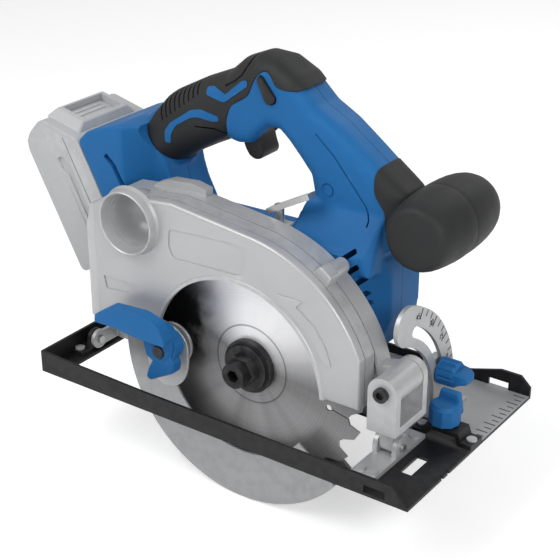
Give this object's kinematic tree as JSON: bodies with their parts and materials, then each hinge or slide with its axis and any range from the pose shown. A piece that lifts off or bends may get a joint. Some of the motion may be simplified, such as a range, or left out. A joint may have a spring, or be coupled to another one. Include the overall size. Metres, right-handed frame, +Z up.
{
  "type": "cordless circular saw",
  "caption": "Cordless circular saw with a D-handle, front knob, swinging lower guard, tilting base and slide-on battery.",
  "frame": {"origin": "on the sole of the base plate, under the arbor, in the parting plane of the housing", "axes": "+X forward along the cut, +Y from the blade to the motor, +Z up from the sole"},
  "size_m": [0.335, 0.1524, 0.273],
  "materials": {
    "black_steel": "satin powder coat",
    "grey_steel": "satin",
    "zinc_steel": "zinc plated",
    "cast_alloy": "fine cast, lacquered",
    "guard_alloy": "satin",
    "blade_steel": "ground",
    "black_oxide": "black oxide",
    "gear_steel": "machined",
    "blue_plastic": "moulded, fine grain",
    "soft_black": "soft grip layer",
    "black_plastic": "moulded",
    "pack_plastic": "moulded",
    "copper_part": "copper wound",
    "board": "circuit board",
    "cell_wrap": "shrink sleeve"
  },
  "bodies": {
    "base": {"base_plate": "black_steel", "front_foot": "grey_steel", "rear_ear": "black_steel", "front_pin": "zinc_steel", "rear_pin": "zinc_steel", "bevel_quadrant": "grey_steel", "fence_bridge": "black_steel", "base_rivets": "zinc_steel"},
    "fence_clamp": {"fence_knob": "blue_plastic", "fence_bolt": "zinc_steel"},
    "tilt_frame": {"front_bracket": "cast_alloy", "hinge_pin": "zinc_steel", "hinge_screw": "black_oxide", "bevel_bolt": "zinc_steel", "depth_bracket": "grey_steel"},
    "bevel_clamp": {"bevel_knob": "blue_plastic"},
    "saw_body": {"gear_case": "cast_alloy", "guard_cover": "cast_alloy", "guard_screws": "black_oxide", "gear_cover": "cast_alloy", "housing_right": "blue_plastic", "housing_left": "blue_plastic", "housing_screws": "black_oxide", "grip_right": "soft_black", "grip_left": "soft_black", "front_grip_right": "soft_black", "front_grip_left": "soft_black", "motor_can": "gear_steel", "brush_holders": "copper_part", "motor_end": "black_plastic", "spindle_bearing_near": "gear_steel", "spindle_bearing_far": "gear_steel", "motor_bearing_near": "gear_steel", "motor_bearing_far": "gear_steel", "switch_body": "black_plastic", "control_board": "board", "terminal_rail": "black_plastic", "depth_bolt": "zinc_steel", "guard_spring": "zinc_steel"},
    "depth_clamp": {"depth_lever": "blue_plastic"},
    "lower_guard_set": {"lower_guard": "guard_alloy", "guard_lever": "blue_plastic", "lever_screw": "zinc_steel"},
    "spindle_set": {"spindle": "gear_steel", "inner_flange": "black_oxide", "outer_flange": "black_oxide", "blade": "blade_steel", "blade_bolt": "black_oxide", "driven_gear": "gear_steel"},
    "rotor": {"armature": "copper_part", "pinion": "gear_steel", "fan": "black_plastic", "commutator": "copper_part"},
    "trigger_lever": {"trigger": "black_plastic"},
    "lock_off": {"lock_off_button": "black_plastic"},
    "arbor_lock": {"spindle_lock": "zinc_steel"},
    "battery": {"battery_case": "pack_plastic", "battery_cover": "pack_plastic", "battery_cells": "cell_wrap"},
    "battery_latch": {"battery_button": "pack_plastic"}
  },
  "joints": [
    {"name": "bevel_tilt", "type": "hinge", "parent": "base", "child": "tilt_frame", "pos_m": [0, -0.053, 0.01], "axis": [1, 0, 0], "range_deg": [0, 45]},
    {"name": "depth_swing", "type": "hinge", "parent": "tilt_frame", "child": "saw_body", "pos_m": [0.1055, 0, 0.052], "axis": [0, 1, 0], "range_deg": [0, 20]},
    {"name": "lower_guard_swing", "type": "hinge", "parent": "saw_body", "child": "lower_guard_set", "pos_m": [0, -0.05, 0.029], "axis": [0, 1, 0], "range_deg": [0, 105], "stiffness_Nm_per_rad": 0.25, "springref_deg": -34.38},
    {"name": "blade_spin", "type": "hinge", "parent": "saw_body", "child": "spindle_set", "pos_m": [0, -0.05, 0.029], "axis": [0, 1, 0], "continuous": true},
    {"name": "rotor_spin", "type": "hinge", "parent": "saw_body", "child": "rotor", "pos_m": [0.017, 0, 0.04933], "axis": [0, 1, 0], "continuous": true},
    {"name": "bevel_knob_turn", "type": "hinge", "parent": "tilt_frame", "child": "bevel_clamp", "pos_m": [0.108, 0.01059, 0.02944], "axis": [1, 0, 0], "range_deg": [-90, 90]},
    {"name": "fence_knob_turn", "type": "hinge", "parent": "base", "child": "fence_clamp", "pos_m": [0.117, -0.015, 0.02], "axis": [0, 0, 1], "range_deg": [-180, 180]},
    {"name": "depth_lever_turn", "type": "hinge", "parent": "saw_body", "child": "depth_clamp", "pos_m": [-0.0465, -0.03, 0.052], "axis": [0, 1, 0], "range_deg": [0, 30]},
    {"name": "trigger_pull", "type": "hinge", "parent": "saw_body", "child": "trigger_lever", "pos_m": [-0.016, 0, 0.17], "axis": [0, 1, 0], "range_deg": [0, 10], "stiffness_Nm_per_rad": 1, "springref_deg": -8.59},
    {"name": "lock_off_push", "type": "slide", "parent": "saw_body", "child": "lock_off", "axis": [0, 1, 0], "range_m": [-0.003, 0.003], "stiffness_N_per_m": 400},
    {"name": "arbor_lock_push", "type": "slide", "parent": "saw_body", "child": "arbor_lock", "axis": [0, 0, -1], "range_m": [0, 0.003], "stiffness_N_per_m": 500, "springref_m": -0.003},
    {"name": "battery_slide", "type": "slide", "parent": "saw_body", "child": "battery", "axis": [-0.4695, 0, 0.8829], "range_m": [0, 0.06]},
    {"name": "battery_button_push", "type": "slide", "parent": "battery", "child": "battery_latch", "axis": [-0.2539, 0, -0.9672], "range_m": [0, 0.002], "stiffness_N_per_m": 600, "springref_m": -0.002}
  ],
  "couplings": [
    {"joint": "rotor_spin", "follows": "blade_spin", "ratio": -4.8889}
  ]
}
